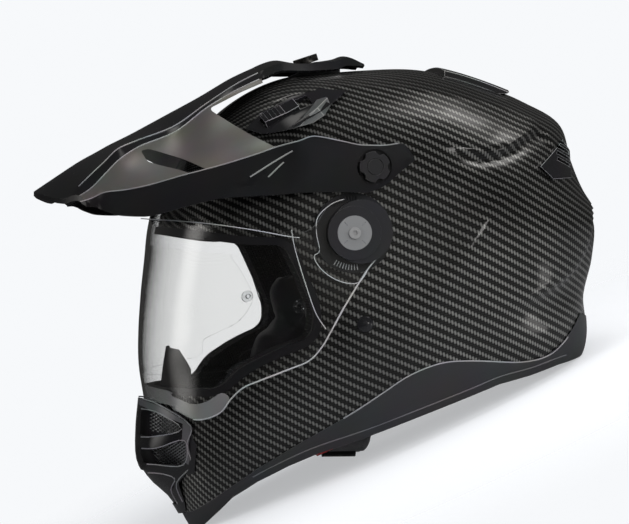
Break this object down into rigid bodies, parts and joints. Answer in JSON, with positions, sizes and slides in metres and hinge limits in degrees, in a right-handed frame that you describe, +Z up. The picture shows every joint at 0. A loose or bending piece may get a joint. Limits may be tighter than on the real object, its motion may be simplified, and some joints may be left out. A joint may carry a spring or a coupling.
{
  "type": "dual sport helmet",
  "caption": "Full-face dual sport helmet with a carbon fibre shell, clear flip-up shield, adjustable peak, vents, padded lining and a double-ring chin strap.",
  "frame": {"origin": "middle of the underside of the bounding box, on the surface that the helmet stands on", "axes": "+X runs to the back of the helmet, -Y is its left side, +Z is up; the helmet stands on its chin and the back of its rim, so the head axis leans forward by 24.27 degrees"},
  "size_m": [0.346, 0.2628, 0.2598],
  "materials": {
    "carbon": "woven carbon fibre twill under a glossy clear coat",
    "satin_black": "satin",
    "satin_peak": "satin with a fine grain",
    "satin_grey": "satin",
    "gloss_black": "gloss",
    "trim_rubber": "satin",
    "gasket_rubber": "matt",
    "soft_rubber": "matt",
    "foam": "fine beaded foam",
    "lining": "brushed knit",
    "curtain": "plain weave",
    "webbing": "woven webbing",
    "wire_mesh": "woven wire mesh",
    "clear_lens": "clear, polished",
    "clear_insert": "clear, polished",
    "pin_plastic": "clear grey",
    "steel": "satin",
    "brushed_insert": "brushed",
    "black_metal": "semi gloss",
    "red_tab": "satin"
  },
  "bodies": {
    "helmet": {"outer_shell": "carbon", "lower_trim": "trim_rubber", "eyeport_gasket": "gasket_rubber", "top_rear_vent": "satin_black", "chin_vent_frame": "satin_black", "chin_vent_mesh": "wire_mesh", "impact_liner": "foam", "chin_liner": "foam", "crown_pad": "lining", "neck_roll": "lining", "breath_guard": "soft_rubber", "chin_curtain": "curtain", "top_mount": "satin_black", "shell_rivets": "black_metal", "chin_strap_left": "webbing", "chin_strap_right": "webbing", "pull_tabs": "red_tab", "forehead_vent_left": "satin_black", "forehead_vent_right": "satin_black", "rear_exhaust_left": "satin_black", "rear_exhaust_right": "satin_black", "cheek_pad_left": "lining", "cheek_pad_right": "lining", "shield_base_left": "gloss_black", "shield_base_right": "gloss_black", "pivot_cover_left": "satin_grey", "pivot_cover_right": "satin_grey", "pivot_insert_left": "brushed_insert", "pivot_insert_right": "brushed_insert", "pivot_screw_left": "steel", "pivot_screw_right": "steel", "side_mount_left": "satin_black", "side_mount_right": "satin_black"},
    "shield": {"face_shield": "clear_lens", "anti_fog_insert": "clear_insert", "insert_pins": "pin_plastic"},
    "peak": {"peak": "satin_peak"},
    "knob_left": {"peak_knob_left": "satin_black"},
    "knob_right": {"peak_knob_right": "satin_black"},
    "top_screw": {"peak_top_screw": "steel"},
    "slider_left": {"forehead_slider_left": "gloss_black"},
    "slider_right": {"forehead_slider_right": "gloss_black"},
    "chin_shutter": {"chin_vent_shutter": "gloss_black"},
    "ring_upper": {"d_ring_upper": "steel"},
    "ring_lower": {"d_ring_lower": "steel"}
  },
  "joints": [
    {"name": "shield_hinge", "type": "hinge", "parent": "helmet", "child": "shield", "pos_m": [0.00101, 0, 0.1428], "axis": [0, 1, 0], "range_deg": [0, 40]},
    {"name": "peak_tilt", "type": "hinge", "parent": "helmet", "child": "peak", "pos_m": [0.02934, 0, 0.17522], "axis": [0, 1, 0], "range_deg": [0, 3]},
    {"name": "peak_knob_left_turn", "type": "hinge", "parent": "helmet", "child": "knob_left", "pos_m": [0.02934, -0.128, 0.17522], "axis": [0, -1, 0], "continuous": true},
    {"name": "peak_knob_right_turn", "type": "hinge", "parent": "helmet", "child": "knob_right", "pos_m": [0.02934, 0.128, 0.17522], "axis": [0, 1, 0], "continuous": true},
    {"name": "peak_top_screw_turn", "type": "hinge", "parent": "helmet", "child": "top_screw", "pos_m": [0.0371, 0, 0.24719], "axis": [0.1072, 0, 0.9942], "continuous": true},
    {"name": "forehead_slider_left_slide", "type": "slide", "parent": "helmet", "child": "slider_left", "axis": [0.9968, -0.0102, 0.0794], "range_m": [0, 0.008]},
    {"name": "forehead_slider_right_slide", "type": "slide", "parent": "helmet", "child": "slider_right", "axis": [0.9968, 0.0102, 0.0794], "range_m": [0, 0.008]},
    {"name": "chin_shutter_hinge", "type": "hinge", "parent": "helmet", "child": "chin_shutter", "pos_m": [-0.14941, 0, 0.07678], "axis": [0, -1, 0], "range_deg": [0, 18]},
    {"name": "d_ring_upper_hinge", "type": "hinge", "parent": "helmet", "child": "ring_upper", "pos_m": [-0.04861, -0.016, 0.01204], "axis": [0.9117, 0, -0.411], "range_deg": [0, 60]},
    {"name": "d_ring_lower_hinge", "type": "hinge", "parent": "helmet", "child": "ring_lower", "pos_m": [-0.05017, -0.016, 0.00857], "axis": [-0.9117, 0, 0.411], "range_deg": [0, 20]}
  ]
}
